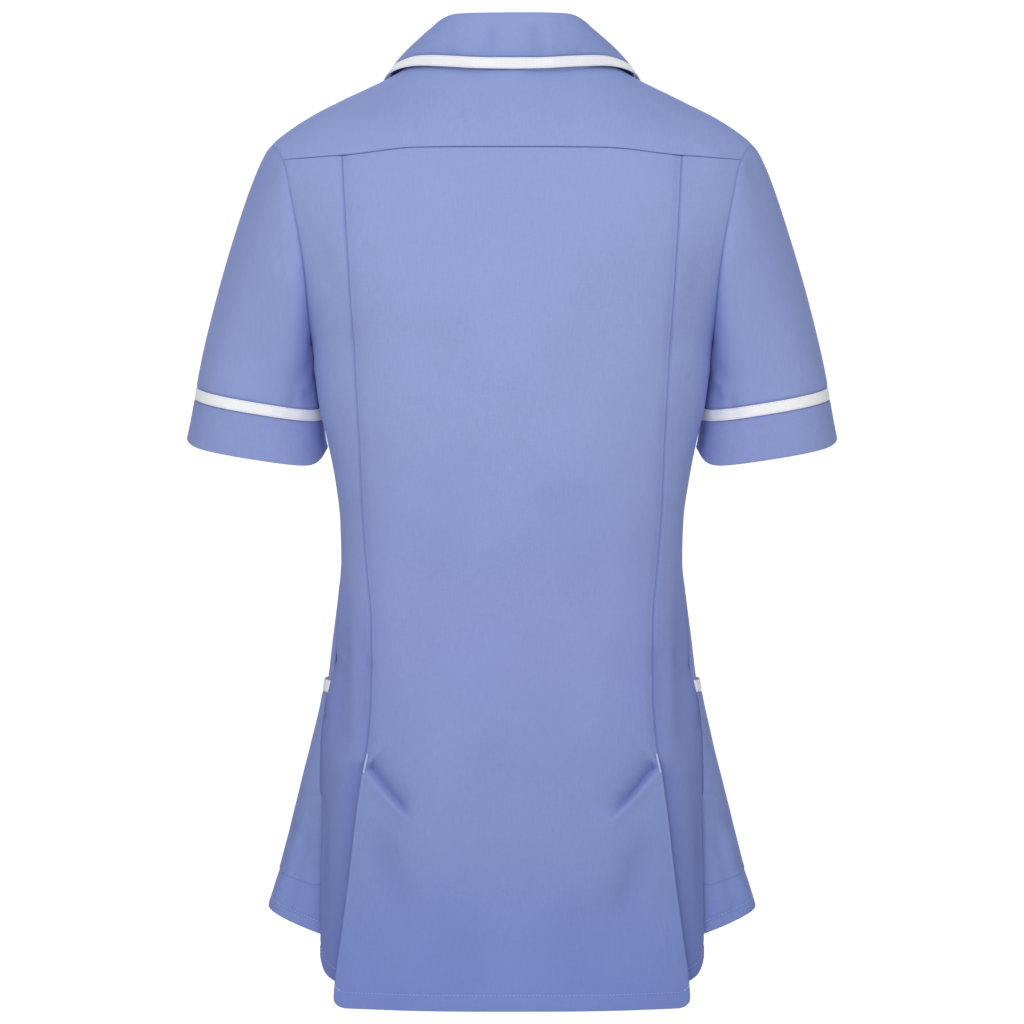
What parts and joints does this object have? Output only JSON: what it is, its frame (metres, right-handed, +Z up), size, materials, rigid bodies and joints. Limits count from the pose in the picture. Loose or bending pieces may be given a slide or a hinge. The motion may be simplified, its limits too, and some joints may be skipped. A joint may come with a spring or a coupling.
{
  "type": "work tunic, worn form",
  "caption": "Short-sleeved work tunic in hollow worn form, with yoke, side backs, kick pleats, side vents, taped revere collar and cuffs, and taped hip pockets.",
  "frame": {"origin": "between the shoulders, on the middle plane, at the height of the nape seam", "axes": "+Z up along the wearer's spine, front faces -Y, the wearer's left is +X"},
  "size_m": [0.5316, 0.2437, 0.7885],
  "materials": {
    "cloth": "matt cornflower-blue twill",
    "tape": "matt white folded tape"
  },
  "bodies": {
    "root": {"yoke": "cloth", "back_centre": "cloth", "back_side_left": "cloth", "back_side_right": "cloth", "front_left": "cloth", "front_right": "cloth", "lapel_left": "cloth", "lapel_right": "cloth", "collar": "cloth", "collar_tape": "tape", "sleeve_left": "cloth", "sleeve_right": "cloth", "sleeve_tape_left": "tape", "sleeve_tape_right": "tape", "cuff_left": "cloth", "cuff_right": "cloth", "pocket_left": "cloth", "pocket_right": "cloth", "pocket_tape_left": "tape", "pocket_tape_right": "tape"}
  },
  "joints": []
}
